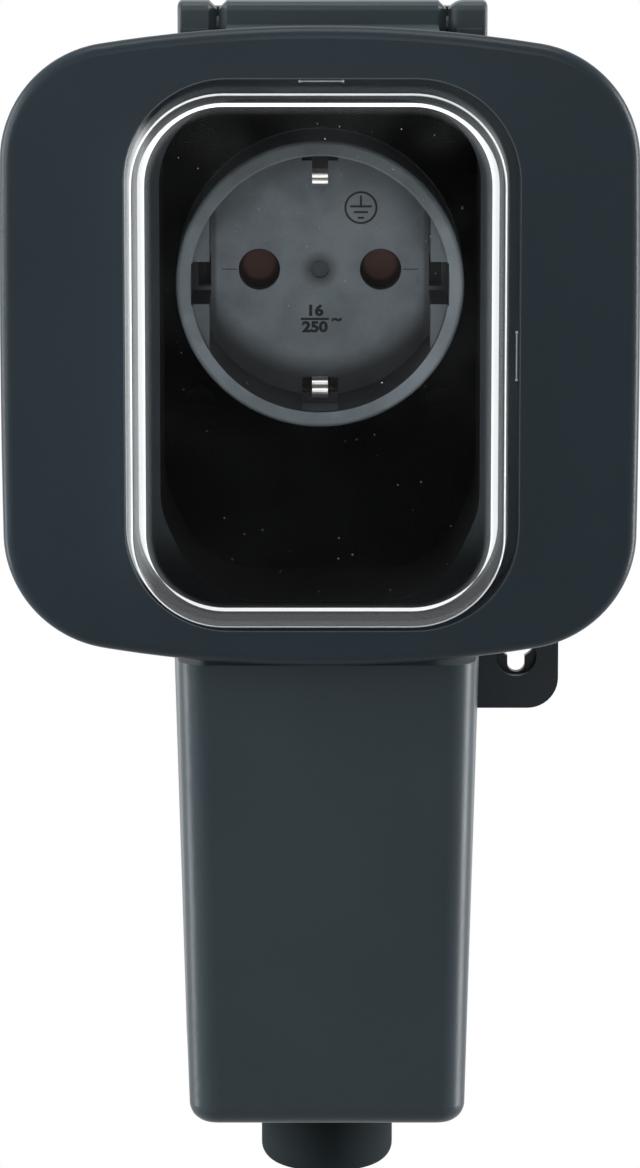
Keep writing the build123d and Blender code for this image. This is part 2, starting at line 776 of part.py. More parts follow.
# Carrier that holds the contacts in the can
with BuildPart() as contact_carrier:
    with BuildSketch(face_at(carrier_back)):
        Circle(carrier_radius)
        with Locations((0, clip_leg_z), (0, -clip_leg_z)):
            Rectangle(
                clip_width + 2 * strap_slot_gap, carrier_radius - clip_leg_z + 4 * strap_thick, mode=Mode.SUBTRACT
            )
    extrude(amount=carrier_front - carrier_back)
    with BuildSketch(face_at(carrier_back + sleeve_floor)):
        with Locations(*pin_holes):
            Circle(pocket_radius)
    extrude(amount=carrier_front - carrier_back - sleeve_floor, mode=Mode.SUBTRACT)
    with BuildSketch(face_at(carrier_back)):
        for x, z in pin_holes:
            with Locations((x, z - sleeve_inner_radius)):
                Rectangle(
                    contact_tab_width + 2 * ring_gap,
                    sleeve_wall + strap_thick + ring_gap,
                    align=(Align.CENTER, Align.MAX),
                )
    extrude(amount=carrier_front - carrier_back, mode=Mode.SUBTRACT)
    with BuildSketch(face_at(carrier_back)):
        with Locations(*carrier_screws_at):
            Circle(screw_radius + screw_clearance)
    extrude(amount=carrier_front - carrier_back, mode=Mode.SUBTRACT)
    screw_bores(terminals, carrier_back, terminal_screw_length)
contact_carrier.part.label = "contact_carrier"
export_step(contact_carrier.part, "parts/contact_carrier.step")

with BuildPart() as carrier_screws:
    screw_set(carrier_screws_at, carrier_back, carrier_screw_length, 1)
carrier_screws.part.label = "carrier_screws"
export_step(carrier_screws.part, "parts/carrier_screws.step")


def contact_solid(x):
    """A slit spring sleeve with the strip that leads to its terminal."""
    sleeve_back = carrier_back + sleeve_floor + snug
    with BuildSketch(face_at(sleeve_back)) as sleeve:
        with Locations((x, 0)):
            Circle(sleeve_radius)
    extrude(sleeve.sketch, amount=carrier_front - ring_gap - sleeve_back)
    strip_top = -sleeve_inner_radius - sleeve_wall / 2
    strip_bottom = -sleeve_radius - strap_thick
    with BuildSketch(face_at(tab_seat)) as strip:
        with Locations((x, strip_bottom)):
            Rectangle(contact_tab_width, strip_top - strip_bottom, align=(Align.CENTER, Align.MIN))
    extrude(strip.sketch, amount=contact_strip_depth)
    with BuildSketch(face_at(tab_seat)) as tab:
        with Locations((x, strip_bottom)):
            Rectangle(
                contact_tab_width, strip_bottom - terminal_z + contact_tab_margin, align=(Align.CENTER, Align.MAX)
            )
        with Locations((x, terminal_z)):
            Circle(screw_radius + screw_clearance, mode=Mode.SUBTRACT)
    extrude(tab.sketch, amount=strap_thick)
    with BuildSketch(face_at(sleeve_back)) as bore:
        with Locations((x, 0)):
            Circle(sleeve_inner_radius)
            Rectangle(sleeve_slit, sleeve_radius + snug, align=(Align.CENTER, Align.MIN))
    extrude(bore.sketch, amount=carrier_front - sleeve_back, mode=Mode.SUBTRACT)


with BuildPart() as left_contact:
    contact_solid(-pin_spacing / 2)
left_contact.part.label = "left_contact"
export_step(left_contact.part, "parts/left_contact.step")

with BuildPart() as right_contact:
    contact_solid(pin_spacing / 2)
right_contact.part.label = "right_contact"
export_step(right_contact.part, "parts/right_contact.step")

# Earth strap: two spring clips in the well, joined behind the carrier
with BuildPart() as earth_strap:
    strap_middle = carrier_back - strap_thick / 2
    upper_clip = [
        (-clip_tip_depth, clip_leg_z - strap_thick),
        (-clip_knee_depth, clip_inner_z + strap_thick / 2),
        (-clip_leg_end_depth, clip_leg_z),
        (-strap_middle, clip_leg_z),
    ]
    lower_clip = [(y, -z) for y, z in reversed(upper_clip)]
    with BuildSketch(Plane.YZ):
        with BuildLine():
            FilletPolyline(*upper_clip, *lower_clip, radius=strap_bend)
        trace(line_width=strap_thick)
    extrude(amount=clip_width / 2, both=True)
    with BuildSketch(face_at(tab_seat)):
        Rectangle(strap_width, 2 * clip_leg_z - 4 * strap_bend)
    extrude(amount=strap_thick)
    with BuildSketch(face_at(tab_seat)):
        with Locations((0, earth_terminal_z)):
            Circle(screw_radius + screw_clearance)
    extrude(amount=strap_thick, mode=Mode.SUBTRACT)
earth_strap.part.label = "earth_strap"
export_step(earth_strap.part, "parts/earth_strap.step")

with BuildPart() as terminal_screws:
    screw_set(terminals, tab_seat, terminal_screw_length, 1)
terminal_screws.part.label = "terminal_screws"
export_step(terminal_screws.part, "parts/terminal_screws.step")

# Shutter: a slide with a sloped face behind the pin holes, pushed down by its spring
with BuildPart() as shutter:
    with BuildSketch(Plane.YZ):
        with BuildLine():
            Polyline(
                (-shutter_back, shutter_bottom),
                (-shutter_front + shutter_ramp, shutter_bottom),
                (-shutter_front, pin_hole_radius - shutter_peg_radius),
                (-shutter_front, shutter_top),
                (-shutter_back, shutter_top),
                close=True,
            )
        make_face()
    extrude(amount=shutter_width / 2, both=True)
    with BuildSketch(Plane.XY.offset(shutter_top)):
        with Locations((0, -shutter_middle)):
            Circle(shutter_peg_radius)
    extrude(amount=shutter_peg_length)
shutter.part.label = "shutter"
export_step(shutter.part, "parts/shutter.step")

with BuildPart() as shutter_spring:
    spring_start = shutter_top + spring_wire / 2 + spring_end_gap
    spring_height = spring_seat_z - shutter_top - spring_wire - 2 * spring_end_gap
    with BuildLine():
        coil = Helix(
            spring_height / spring_turns, spring_height, spring_radius, center=(0, -shutter_middle, spring_start)
        )
    with BuildSketch(Plane(origin=coil @ 0, z_dir=coil % 0)):
        Circle(spring_wire / 2)
    sweep(path=coil)
shutter_spring.part.label = "shutter_spring"
export_step(shutter_spring.part, "parts/shutter_spring.step")

# Rubber cable entry under the lower body
with BuildPart() as cable_grommet:
    with BuildSketch(Plane.XY.offset(grommet_bottom)):
        with Locations((body_x, -grommet_depth)):
            Circle(grommet_radius)
    extrude(amount=body_bottom - grommet_bottom)
    fillet(cable_grommet.edges().filter_by(GeomType.CIRCLE).sort_by(Axis.Z)[0], radius=grommet_round)
    with BuildSketch(Plane.XY.offset(body_bottom)):
        with Locations((body_x, -grommet_depth)):
            Circle(grommet_neck_radius)
    extrude(amount=wall)
    with BuildSketch(Plane.XY.offset(body_bottom + wall)):
        with Locations((body_x, -grommet_depth)):
            Circle(grommet_flange_radius)
    extrude(amount=grommet_flange_thick)
    with BuildSketch(Plane.XY.offset(grommet_bottom)):
        with Locations((body_x, -grommet_depth)):
            Circle(cable_radius)
    extrude(amount=body_bottom + wall + grommet_flange_thick - grommet_bottom, mode=Mode.SUBTRACT)
cable_grommet.part.label = "cable_grommet"
export_step(cable_grommet.part, "parts/cable_grommet.step")

# Cord clamp over the supply cable, on the plate's two posts
with BuildPart() as cord_clamp:
    with BuildSketch(face_at(clamp_seat)):
        with Locations((body_x, clamp_z)):
            SlotOverall(clamp_spacing + 2 * clamp_end_margin, clamp_height)
        with Locations(*clamp_screws_at):
            Circle(screw_radius + screw_clearance, mode=Mode.SUBTRACT)
    extrude(amount=clamp_thick)
cord_clamp.part.label = "cord_clamp"
export_step(cord_clamp.part, "parts/cord_clamp.step")

with BuildPart() as cord_clamp_screws:
    screw_set(clamp_screws_at, clamp_seat + clamp_thick, clamp_screw_length, -1)
cord_clamp_screws.part.label = "cord_clamp_screws"
export_step(cord_clamp_screws.part, "parts/cord_clamp_screws.step")
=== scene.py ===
import math
import bpy
import bmesh
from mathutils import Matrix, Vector


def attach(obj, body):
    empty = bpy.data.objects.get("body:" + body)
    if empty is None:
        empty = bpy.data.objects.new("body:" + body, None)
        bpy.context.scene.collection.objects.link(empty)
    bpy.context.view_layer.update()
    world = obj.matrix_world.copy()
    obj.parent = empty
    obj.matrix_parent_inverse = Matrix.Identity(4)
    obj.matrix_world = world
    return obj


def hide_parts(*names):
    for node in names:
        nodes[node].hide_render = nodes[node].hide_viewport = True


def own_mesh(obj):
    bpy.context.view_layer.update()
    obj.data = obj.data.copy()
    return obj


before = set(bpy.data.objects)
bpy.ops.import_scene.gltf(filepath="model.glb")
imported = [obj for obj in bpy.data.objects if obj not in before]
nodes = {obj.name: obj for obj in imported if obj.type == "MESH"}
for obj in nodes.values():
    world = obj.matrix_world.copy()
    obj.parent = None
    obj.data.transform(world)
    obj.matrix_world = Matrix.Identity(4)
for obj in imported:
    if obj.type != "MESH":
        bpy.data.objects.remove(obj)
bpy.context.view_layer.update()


# short forms for shader trees
def addNode(tree, kind, **inputs):
    node = tree.nodes.new(kind)
    for key, value in inputs.items():
        node.inputs[key].default_value = value
    return node


def newMaterial(name):
    mat = bpy.data.materials.new(name)
    mat.use_nodes = True
    tree = mat.node_tree
    tree.nodes.clear()
    out = tree.nodes.new("ShaderNodeOutputMaterial")
    bsdf = tree.nodes.new("ShaderNodeBsdfPrincipled")
    tree.links.new(bsdf.outputs["BSDF"], out.inputs["Surface"])
    return mat, tree, bsdf


def objectCoords(tree):
    return tree.nodes.new("ShaderNodeTexCoord").outputs["Object"]


def axesOf(tree, vector):
    node = tree.nodes.new("ShaderNodeSeparateXYZ")
    tree.links.new(vector, node.inputs[0])
    return node.outputs


def placeAxes(tree):
    return axesOf(tree, objectCoords(tree))


def normalAxes(tree):
    return axesOf(tree, tree.nodes.new("ShaderNodeTexCoord").outputs["Normal"])


def noise(tree, coords, scale, detail=3.0):
    node = addNode(tree, "ShaderNodeTexNoise", Scale=scale, Detail=detail, Roughness=0.55)
    tree.links.new(coords, node.inputs["Vector"])
    return node.outputs["Fac"]


def remap(tree, value, low, high, smooth=False, fromLow=0.0, fromHigh=1.0):
    node = tree.nodes.new("ShaderNodeMapRange")
    if smooth:
        node.interpolation_type = "SMOOTHSTEP"
    for socket, v in (("From Min", fromLow), ("From Max", fromHigh), ("To Min", low), ("To Max", high)):
        node.inputs[socket].default_value = v
    tree.links.new(value, node.inputs["Value"])
    return node.outputs["Result"]


# soft steps: up to the top over a span, or down from it
def rise(tree, value, span, top=1.0):
    return remap(tree, value, 0.0, top, True, *span)


def fall(tree, value, span, top=1.0):
    return remap(tree, value, top, 0.0, True, *span)


def calc(tree, op, *values):
    node = tree.nodes.new("ShaderNodeMath")
    node.operation = op
    for i, v in enumerate(values):
        if isinstance(v, (int, float)):
            node.inputs[i].default_value = v
        else:
            tree.links.new(v, node.inputs[i])
    return node.outputs[0]


def times(tree, first, *others):
    for other in others:
        first = calc(tree, "MULTIPLY", first, other)
    return first


def between(tree, value, upSpan, downSpan):
    return times(tree, rise(tree, value, upSpan), fall(tree, value, downSpan))


def reachOf(tree, a, b):
    squares = [calc(tree, "POWER", v, 2.0) for v in (a, b)]
    return calc(tree, "SQRT", calc(tree, "ADD", *squares))


def mixColour(tree, fac, a, b):
    node = tree.nodes.new("ShaderNodeMix")
    node.data_type = "RGBA"
    for socket, v in ((0, fac), (6, a), (7, b)):  # factor, A and B of a colour mix
        if isinstance(v, tuple):
            node.inputs[socket].default_value = (*v, 1.0)
        else:
            tree.links.new(v, node.inputs[socket])
    return node.outputs[2]


def mixShaders(tree, fac, first, second, surface):
    mix = tree.nodes.new("ShaderNodeMixShader")
    for i, socket in enumerate((fac, first, second)):
        tree.links.new(socket, mix.inputs[i])
    tree.links.new(mix.outputs[0], surface)


# 1 for rays that see the background: from the camera, off gloss or through glass
def seeingRay(tree):
    ray = tree.nodes.new("ShaderNodeLightPath").outputs
    seen = calc(tree, "MAXIMUM", ray["Is Camera Ray"], ray["Is Glossy Ray"])
    return calc(tree, "MAXIMUM", seen, ray["Is Transmission Ray"])


def grainBump(tree, bsdf, height, strength, distance):
    bump = addNode(tree, "ShaderNodeBump", Strength=strength, Distance=distance)
    tree.links.new(height, bump.inputs["Height"])
    tree.links.new(bump.outputs["Normal"], bsdf.inputs["Normal"])


# another colour over what a material has, where the mask is 1
def paintOver(tree, bsdf, mask, colour):
    under = bsdf.inputs["Base Color"].links[0].from_socket
    tree.links.new(mixColour(tree, mask, under, colour), bsdf.inputs["Base Color"])


def dullOver(tree, bsdf, mask):
    under = bsdf.inputs["Roughness"].links[0].from_socket
    tree.links.new(calc(tree, "MAXIMUM", under, mask), bsdf.inputs["Roughness"])


# moulded plastic: fine spark grain, faint clouding, roughness that wanders a little
def plastic(name, s):
    mat, tree, bsdf = newMaterial(name)
    at = objectCoords(tree)
    cloud = rise(tree, noise(tree, at, s["cloudScale"], 4.0), s["cloudSpan"])
    dark = tuple(c * s["cloudDark"] for c in s["colour"])
    tree.links.new(mixColour(tree, cloud, dark, s["colour"]), bsdf.inputs["Base Color"])
    wander = noise(tree, at, s["cloudScale"] * s["wander"])
    tree.links.new(remap(tree, wander, *s["rough"]), bsdf.inputs["Roughness"])
    grainBump(tree, bsdf, noise(tree, at, s["grainScale"], 2.0), s["grain"], s["grainDepth"])
    bsdf.inputs["Specular IOR Level"].default_value = s["spec"]
    return mat, tree, bsdf


bodySet = {"colour": (0.025, 0.038, 0.046), "cloudDark": 0.9, "cloudScale": 40.0, "cloudSpan": (0.33, 0.67),
           "rough": (0.32, 0.42), "wander": 2.3, "grainScale": 2600.0, "grain": 0.25, "grainDepth": 0.00006,
           "spec": 0.22}
bodyMat, bodyTree, bodyBsdf = plastic("bodyPlastic", bodySet)
plateMat = plastic("platePlastic", dict(bodySet, colour=(0.019, 0.027, 0.033)))[0]
carrierMat = plastic("carrierPlastic", dict(bodySet, colour=(0.03, 0.03, 0.031)))[0]
clampMat = plastic("clampPlastic", dict(bodySet, colour=(0.045, 0.045, 0.046)))[0]
grommetSet = dict(bodySet, colour=(0.016, 0.022, 0.024), rough=(0.85, 0.95), spec=0.08)
grommetMat = plastic("grommetRubber", grommetSet)[0]
sealMat = plastic("sealRubber", dict(bodySet, colour=(0.014, 0.014, 0.014), rough=(0.7, 0.8), spec=0.15))[0]

# lid, with a painted highlight: the hinge barrel is lighter, standing in for light on its rounded top
lidSet = dict(bodySet, colour=(0.0165, 0.0265, 0.034), cloudScale=30.0, rough=(0.28, 0.38), spec=0.15,
              barrelUp=(0.0355, 0.0375), barrelBack=(-0.058, -0.056), paintedTopLight=(0.038, 0.053, 0.059))
lidMat, lidTree, lidBsdf = plastic("lidPlastic", lidSet)
lidAt = placeAxes(lidTree)
barrelLightMask = times(lidTree, rise(lidTree, lidAt["Z"], lidSet["barrelUp"]),
                   rise(lidTree, lidAt["Y"], lidSet["barrelBack"]))
paintOver(lidTree, lidBsdf, barrelLightMask, lidSet["paintedTopLight"])

# shutter, with painted shadow outside a round patch in the middle of each pin hole
shutterSet = dict(bodySet, colour=(0.115, 0.058, 0.044), cloudScale=200.0, holeAt=(0.0095, 0.0004),
                  shadowFrom=(0.0021, 0.003), shadowMost=0.9, shadow=(0.008, 0.007, 0.007))
shutterMat, shutterTree, shutterBsdf = plastic("shutterPlastic", shutterSet)
shutterAt = placeAxes(shutterTree)
holeX, holeZ = shutterSet["holeAt"]
acrossHole = calc(shutterTree, "SUBTRACT", calc(shutterTree, "ABSOLUTE", shutterAt["X"]), holeX)
upHole = calc(shutterTree, "SUBTRACT", shutterAt["Z"], holeZ)
shadowMask = rise(shutterTree, reachOf(shutterTree, acrossHole, upHole), shutterSet["shadowFrom"],
                  shutterSet["shadowMost"])
paintOver(shutterTree, shutterBsdf, shadowMask, shutterSet["shadow"])
print("plastics made")


# drawn or plated metal with fine scratches
def metal(name, s):
    mat, tree, bsdf = newMaterial(name)
    stretch = addNode(tree, "ShaderNodeMapping", Scale=s["stretch"])
    tree.links.new(objectCoords(tree), stretch.inputs["Vector"])
    lines = noise(tree, stretch.outputs["Vector"], s["scratchScale"], 4.0)
    worn = tuple(c * s["worn"] for c in s["colour"])
    tree.links.new(mixColour(tree, lines, worn, s["colour"]), bsdf.inputs["Base Color"])
    tree.links.new(remap(tree, lines, *s["rough"]), bsdf.inputs["Roughness"])
    grainBump(tree, bsdf, lines, s["scratch"], s["scratchDepth"])
    bsdf.inputs["Metallic"].default_value = 1.0
    return mat


steelSet = {"colour": (0.62, 0.62, 0.60), "worn": 0.8, "rough": (0.2, 0.38), "stretch": (1.0, 1.0, 0.15),
            "scratchScale": 3000.0, "scratch": 0.15, "scratchDepth": 0.00002}
alongX = (0.1, 1.0, 1.0)  # scratches run along X
screwMat = metal("screwSteel", steelSet)
# painted shade: the hinge pin is dark, so it shows as the shade in the gaps between the knuckles
pinMat = metal("pinSteel", dict(steelSet, colour=(0.1, 0.1, 0.1), rough=(0.5, 0.62), stretch=alongX))
springMat = metal("springSteel", dict(steelSet, rough=(0.15, 0.3)))
blackScrewMat = metal("blackScrew", dict(steelSet, colour=(0.008, 0.008, 0.009), rough=(0.6, 0.75)))
clipSet = dict(steelSet, colour=(0.92, 0.91, 0.87), rough=(0.28, 0.46), stretch=alongX, scratchScale=900.0)
clipMat = metal("clipMetal", clipSet)
brassMat = metal("contactBrass", dict(steelSet, colour=(0.72, 0.53, 0.22)))
print("metals made")

# clear window: clear face on, a painted highlight as a light line on its round front edge, and inner walls
# with a painted glow where they would pipe the light
windowSet = {
    "tint": (0.86, 0.89, 0.90), "rough": (0.1, 0.18), "glowTint": (0.95, 0.98, 1.0),
    "wiped": 0.06, "wipedScale": 900.0, "wipedDepth": 0.00003,
    # the cap's foot in X and Z, and how far forward the light starts, at the sides and at the top
    "middle": (-0.00025, -0.00685), "half": (0.02875, 0.0409), "corner": 0.01475,
    "pipeBack": 0.066, "pipeBackTop": 0.0738, "pipeSoft": (-0.0004, 0.0004), "pipeTopZ": (0.016, 0.031),
    # how solid each zone looks, and how strongly the walls glow with painted light
    "face": 0.001, "outer": 0.14, "outerLeft": 0.5, "outerRight": 0.14, "edge": 0.7, "inner": 0.93,
    "strip": 0.12, "stripLeft": 0.2, "halo": 0.09, "lip": 0.6, "paintedGlow": 0.85, "paintedSideGlow": 0.28,
    # where the zones begin and end: by the normal's forward part, by the inset from the foot, by place
    "wallTurn": ((0.02, 0.06), (0.18, 0.3)), "edgeTurn": ((0.15, 0.35), (0.85, 0.99)),
    "faceTurn": (0.97, 0.995),
    "innerInset": (0.0011, 0.0013), "stripInset": ((0.0009, 0.0013), (0.0027, 0.0031)),
    "haloInset": ((0.0027, 0.0031), (0.0029, 0.0042)), "lipInset": (-0.0002, 0.0001),
    "leftX": (-0.0275, -0.0245), "rightX": (0.024, 0.027), "topZ": (0.026, 0.033), "topLeft": 0.15,
    # the inner wall is clearer when looked at squarely
    "glancing": (0.42, 0.64), "squarely": 0.12,
    "haze": 0.012, "hazeSmear": (0.35, 0.75), "hazeZ": (-0.03, 0.02), "hazeLow": 0.2, "smearScale": 60.0,
}


# how far a point lies inside the rounded foot of the cap
def insetFrom(tree, at, s):
    over = []
    for axis, middle, half in zip("XZ", s["middle"], s["half"]):
        off = calc(tree, "ABSOLUTE", calc(tree, "SUBTRACT", at[axis], middle))
        over.append(calc(tree, "SUBTRACT", off, half - s["corner"]))
    beyond = reachOf(tree, *(calc(tree, "MAXIMUM", o, 0.0) for o in over))
    within = calc(tree, "MINIMUM", calc(tree, "MAXIMUM", *over), 0.0)
    return calc(tree, "SUBTRACT", s["corner"], calc(tree, "ADD", beyond, within))


def clearWindow(s):
    mat, tree, bsdf = newMaterial("clearWindow")
    at = placeAxes(tree)
    turned = calc(tree, "ABSOLUTE", normalAxes(tree)["Y"])
    inset = insetFrom(tree, at, s)
    topFade = remap(tree, at["Z"], 1.0, s["topLeft"], True, *s["topZ"])
    leftSide = fall(tree, at["X"], s["leftX"])
    wall = between(tree, turned, *s["wallTurn"])
    face = rise(tree, turned, s["faceTurn"])
    # inner walls, white with painted glow where they would pipe the light
    pipeEnd = remap(tree, at["Z"], s["pipeBack"], s["pipeBackTop"], True, *s["pipeTopZ"])
    forward = calc(tree, "MULTIPLY", at["Y"], -1.0)
    pipe = rise(tree, calc(tree, "SUBTRACT", forward, pipeEnd), s["pipeSoft"])
    paintedGlowWalls = times(tree, wall, rise(tree, inset, s["innerInset"]), pipe)
    glancing = addNode(tree, "ShaderNodeLayerWeight", Blend=0.5).outputs["Facing"]
    inner = times(tree, paintedGlowWalls, remap(tree, glancing, s["squarely"], 1.0, True, *s["glancing"]))
    outer = times(tree, calc(tree, "SUBTRACT", wall, paintedGlowWalls), topFade)
    # painted light: the outer wall and the lip on the left side are more solid and glow, standing in for
    # light from the left
    outerLeft = times(tree, outer, leftSide)
    outerRight = times(tree, outer, rise(tree, at["X"], s["rightX"]))
    # milky bands on the face over the walls, with the halo among them a painted glow
    strip = times(tree, face, between(tree, inset, *s["stripInset"]), topFade)
    stripLeft = times(tree, strip, leftSide)
    halo = times(tree, face, between(tree, inset, *s["haloInset"]), topFade)
    lip = times(tree, face, fall(tree, inset, s["lipInset"]), leftSide)
    # painted highlight: the round front edge is nearly solid
    edge = between(tree, turned, *s["edgeTurn"])
    solid = s["face"]
    for mask, key in ((outer, "outer"), (outerLeft, "outerLeft"), (outerRight, "outerRight"), (edge, "edge"),
                      (inner, "inner"), (strip, "strip"), (stripLeft, "stripLeft"), (halo, "halo"),
                      (lip, "lip")):
        solid = calc(tree, "ADD", calc(tree, "MULTIPLY", mask, s[key]), solid)
    smear = noise(tree, objectCoords(tree), s["smearScale"], 4.0)
    haze = times(tree, rise(tree, smear, s["hazeSmear"], s["haze"]),
                 remap(tree, at["Z"], s["hazeLow"], 1.0, True, *s["hazeZ"]))
    solid = calc(tree, "ADD", solid, haze)
    tree.links.new(remap(tree, smear, *s["rough"]), bsdf.inputs["Roughness"])
    grainBump(tree, bsdf, noise(tree, objectCoords(tree), s["wipedScale"]), s["wiped"], s["wipedDepth"])
    bsdf.inputs["Base Color"].default_value = (*s["tint"], 1.0)
    bsdf.inputs["Emission Color"].default_value = (*s["glowTint"], 1.0)
    paintedSideGlow = calc(tree, "MULTIPLY", calc(tree, "ADD", outerLeft, lip), s["paintedSideGlow"])
    tree.links.new(calc(tree, "ADD", calc(tree, "MULTIPLY", inner, s["paintedGlow"]), paintedSideGlow),
                   bsdf.inputs["Emission Strength"])
    clear = tree.nodes.new("ShaderNodeBsdfTransparent")
    mixShaders(tree, solid, clear.outputs[0], bsdf.outputs[0],
               tree.nodes["Material Output"].inputs["Surface"])
    return mat


windowMat = clearWindow(windowSet)
print("window made")


# 1 inside a box with soft sides
def insideMask(tree, at, low, high, soft):
    sides = [between(tree, at[axis], (a - soft, a + soft), (b - soft, b + soft))
             for axis, a, b in zip("XYZ", low, high)]
    return times(tree, *sides)


# painted shade: the tray's inside is painted black, with its rim's lower end; painted highlight: the hinge
# knuckles are lighter
traySet = {"low": (-0.0252, -0.0508, -0.0487), "high": (0.0252, -0.0232, 0.0302), "soft": 0.0004,
           "rimLow": (-0.0256, -0.0535, -0.0498), "rimHigh": (0.0256, -0.0500, -0.0325), "rimSoft": 0.0006,
           "rimFade": (-0.043, -0.033), "rimMost": 0.9, "outward": (0.004, 0.008),
           "black": (0.001, 0.0012, 0.0014)}
knuckleSet = {"up": (0.0355, 0.0375), "front": (-0.041, -0.038), "most": 0.6,
              "paintedTopLight": (0.048, 0.06, 0.064)}
bodyAt = placeAxes(bodyTree)
bodyTurn = normalAxes(bodyTree)
trayShadeMask = insideMask(bodyTree, bodyAt, traySet["low"], traySet["high"], traySet["soft"])
rimShadeMask = insideMask(bodyTree, bodyAt, traySet["rimLow"], traySet["rimHigh"], traySet["rimSoft"])
rimShadeMask = times(bodyTree, rimShadeMask, fall(bodyTree, bodyAt["Z"], traySet["rimFade"], traySet["rimMost"]))
# above zero on the tray's outer walls, which stay grey
outward = calc(bodyTree, "ADD", *(times(bodyTree, bodyAt[axis], bodyTurn[axis]) for axis in "XZ"))
trayShadeMask = times(bodyTree, calc(bodyTree, "MAXIMUM", trayShadeMask, rimShadeMask),
                 fall(bodyTree, outward, traySet["outward"]))
# painted highlight: the knuckles' tops are lighter, standing in for light from above
knuckleLightMask = times(bodyTree, rise(bodyTree, bodyAt["Z"], knuckleSet["up"], knuckleSet["most"]),
                    fall(bodyTree, bodyAt["Y"], knuckleSet["front"]))
paintOver(bodyTree, bodyBsdf, knuckleLightMask, knuckleSet["paintedTopLight"])
# painted shade: black over the tray's inside, where only shade falls
paintOver(bodyTree, bodyBsdf, trayShadeMask, traySet["black"])
dullOver(bodyTree, bodyBsdf, trayShadeMask)

# socket well with painted shade: darkened walls and floor edge, a rim darker towards its top, darker side
# guides, a darker spot at the dimple in the middle, and a flange painted as black as the tray
# painted light: the well's colour is about 4.5 times lighter than its plastic's own, making up for the little
# light that reaches it through the window
wellSet = dict(bodySet, colour=(0.345, 0.40, 0.435), cloudDark=0.76, cloudScale=150.0, grain=0.18)
wellShade = {
    "lift": 0.0042, "edge": (0.017, 0.0218), "floorY": (-0.027, -0.0262), "wallTurn": (0.3, 0.6),
    "cup": (0.0202, 0.0206), "most": 0.92, "dark": (0.012, 0.013, 0.014),
    "rim": (0.0199, 0.0202), "rimZ": (0.004, 0.017), "rimMost": 0.52, "rimDark": (0.03, 0.035, 0.038),
    "guide": (0.01985, 0.0201), "guideX": (0.0160, 0.0166), "guideMost": 0.55,
    "guideDark": (0.06, 0.068, 0.074),
    "dimple": (0.0009, 0.0036), "dimpleMost": 0.85, "dimpleDark": (0.05, 0.055, 0.06),
    "flange": (0.02222, 0.02235), "flangeShadeBlack": (0.0015, 0.0017, 0.0019),
}


def shadedWell(s):
    mat, tree, bsdf = plastic("wellPlastic", wellSet)
    at = placeAxes(tree)
    reach = reachOf(tree, at["X"], at["Z"])
    # painted shade: the walls and the floor's lower edge are darkened
    sideways = fall(tree, calc(tree, "ABSOLUTE", normalAxes(tree)["Y"]), s["wallTurn"])
    walls = times(tree, sideways, fall(tree, reach, s["cup"]))
    lowReach = reachOf(tree, at["X"], calc(tree, "SUBTRACT", at["Z"], s["lift"]))
    floorEdge = times(tree, rise(tree, lowReach, s["edge"]), rise(tree, at["Y"], s["floorY"]))
    shade = times(tree, calc(tree, "MAXIMUM", walls, floorEdge), s["most"])
    paintOver(tree, bsdf, shade, s["dark"])
    # painted shade: the rim is darker towards its top
    rim = times(tree, rise(tree, reach, s["rim"], s["rimMost"]), rise(tree, at["Z"], s["rimZ"]))
    paintOver(tree, bsdf, rim, s["rimDark"])
    guide = times(tree, fall(tree, reach, s["guide"], s["guideMost"]),
                  rise(tree, calc(tree, "ABSOLUTE", at["X"]), s["guideX"]))
    paintOver(tree, bsdf, guide, s["guideDark"])
    paintOver(tree, bsdf, fall(tree, reach, s["dimple"], s["dimpleMost"]), s["dimpleDark"])
    # painted shade: the flange is painted black like the tray's inside
    flange = rise(tree, reach, s["flange"])
    paintOver(tree, bsdf, flange, s["flangeShadeBlack"])
    dullOver(tree, bsdf, flange)
    return mat


wellMat = shadedWell(wellShade)

matFor = {
    "housing": bodyMat, "back_plate": plateMat, "back_seal": sealMat, "back_plate_screws": screwMat,
    "lid": lidMat, "window": windowMat, "window_seal": sealMat, "lid_seal": sealMat, "hinge_pin": pinMat,
    "socket_well": wellMat, "socket_screws": blackScrewMat, "contact_carrier": carrierMat,
    "carrier_screws": screwMat, "left_contact": brassMat, "right_contact": brassMat, "earth_strap": clipMat,
    "terminal_screws": screwMat, "shutter": shutterMat, "shutter_spring": springMat,
    "cable_grommet": grommetMat, "cord_clamp": clampMat, "cord_clamp_screws": screwMat,
}
for name, mat in matFor.items():
    mesh = nodes[name].data
    mesh.materials.clear()
    mesh.materials.append(mat)
print("materials set on", len(matFor), "nodes")


def addObject(name, data):
    obj = bpy.data.objects.new(name, data)
    bpy.context.collection.objects.link(obj)
    return obj


# one finished mesh from faces given in metres, riding on a body
def addPiece(name, verts, faces, mat, body):
    mesh = bpy.data.meshes.new(name)
    mesh.from_pydata(verts, [], faces)
    mesh.materials.append(mat)
    piece = addObject(name, mesh)
    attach(piece, body)
    return piece


def evaluatedMesh(obj):
    return bpy.data.meshes.new_from_object(obj.evaluated_get(bpy.context.evaluated_depsgraph_get()))


# flat shapes that face the front, at a depth
def rectangle(x0, x1, z0, z1, depth):
    return [(x0, depth, z0), (x1, depth, z0), (x1, depth, z1), (x0, depth, z1)]


def circle(cx, cz, radius, depth, steps):
    angles = [2 * math.pi * k / steps for k in range(steps)]
    return [(cx + radius * math.cos(a), depth, cz + radius * math.sin(a)) for a in angles]


def addFace(verts, faces, corners):
    faces.append(tuple(range(len(verts), len(verts) + len(corners))))
    verts += corners


